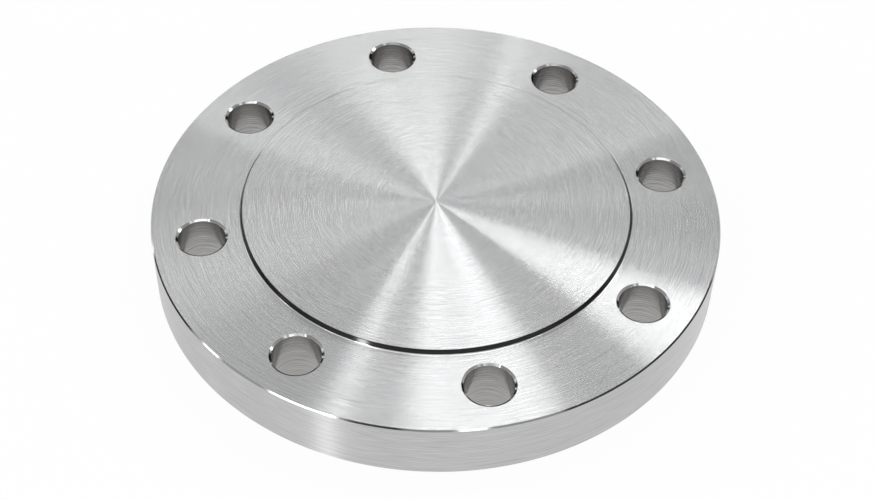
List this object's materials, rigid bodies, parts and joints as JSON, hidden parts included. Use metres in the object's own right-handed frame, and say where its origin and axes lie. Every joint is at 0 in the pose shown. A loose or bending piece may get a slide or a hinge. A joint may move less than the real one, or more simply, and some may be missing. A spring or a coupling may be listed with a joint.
{
  "type": "blank flange",
  "caption": "Round stainless steel blank flange with a raised, finely turned sealing face and a circle of plain bolt holes, for closing off a pipe or port.",
  "frame": {"origin": "centre of the flat back face, which the flange rests on", "axes": "+Z along the flange's axis, from the back face towards the raised sealing face; the bolt holes straddle X and Y"},
  "size_m": [0.23, 0.23, 0.027],
  "materials": {
    "stainless_steel": "bright turned sealing face with fine circular tool marks, circularly brushed bolting face and rim, bright chamfers"
  },
  "bodies": {
    "root": {"flange": "stainless_steel"}
  },
  "joints": []
}
